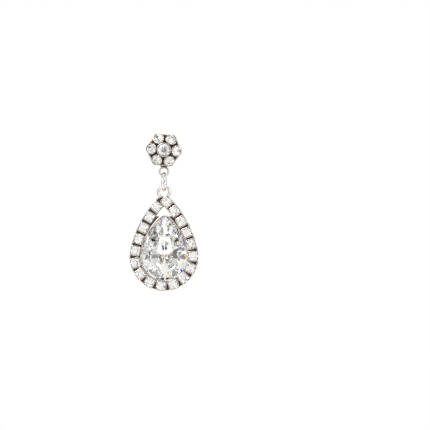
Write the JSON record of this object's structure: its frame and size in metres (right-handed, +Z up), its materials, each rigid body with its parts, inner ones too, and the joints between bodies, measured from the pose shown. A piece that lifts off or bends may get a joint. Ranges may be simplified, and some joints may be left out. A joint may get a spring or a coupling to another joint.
{
  "type": "teardrop drop earring",
  "caption": "Drop earring: a flower stud of round stones with a post, a jump ring, and a teardrop halo of round stones about a large faceted pear stone.",
  "frame": {"origin": "where the ear post leaves the back of the stud's pad: the middle of the pad's flat back face, which rests on the lobe", "axes": "+Z up, with the drop hanging along -Z; -Y to the front, with the post pointing along +Y through the lobe; +X to the viewer's right from the front"},
  "size_m": [0.0192, 0.0145, 0.0442],
  "materials": {
    "antiqued_silver": "antiqued silver plate, light on the edges and dark in the recesses",
    "antiqued_silver_dark": "antiqued silver plate, mostly dark brown, with bright cup rims",
    "bright_silver": "polished silver plate",
    "clear_crystal": "cut and polished foil-backed crystal"
  },
  "bodies": {
    "stud": {"stud_setting": "antiqued_silver_dark", "ear_post": "bright_silver", "centre_stone": "clear_crystal", "petal_stone_1": "clear_crystal", "petal_stone_2": "clear_crystal", "petal_stone_3": "clear_crystal", "petal_stone_4": "clear_crystal", "petal_stone_5": "clear_crystal", "petal_stone_6": "clear_crystal"},
    "jump_ring": {"jump_ring": "bright_silver"},
    "drop": {"drop_frame": "antiqued_silver", "pear_stone": "clear_crystal", "halo_stone_1": "clear_crystal", "halo_stone_2": "clear_crystal", "halo_stone_3": "clear_crystal", "halo_stone_4": "clear_crystal", "halo_stone_5": "clear_crystal", "halo_stone_6": "clear_crystal", "halo_stone_7": "clear_crystal", "halo_stone_8": "clear_crystal", "halo_stone_9": "clear_crystal", "halo_stone_10": "clear_crystal", "halo_stone_11": "clear_crystal", "halo_stone_12": "clear_crystal", "halo_stone_13": "clear_crystal", "halo_stone_14": "clear_crystal", "halo_stone_15": "clear_crystal", "halo_stone_16": "clear_crystal", "halo_stone_17": "clear_crystal", "halo_stone_18": "clear_crystal"}
  },
  "joints": [
    {"name": "ring_swing", "type": "hinge", "parent": "stud", "child": "jump_ring", "pos_m": [0, -0.0008, -0.0073], "axis": [1, 0, 0], "range_deg": [-80, 80]},
    {"name": "drop_swing", "type": "hinge", "parent": "jump_ring", "child": "drop", "pos_m": [0, -0.0008, -0.01119], "axis": [0.1564, 0.9877, 0], "range_deg": [-90, 90]}
  ]
}
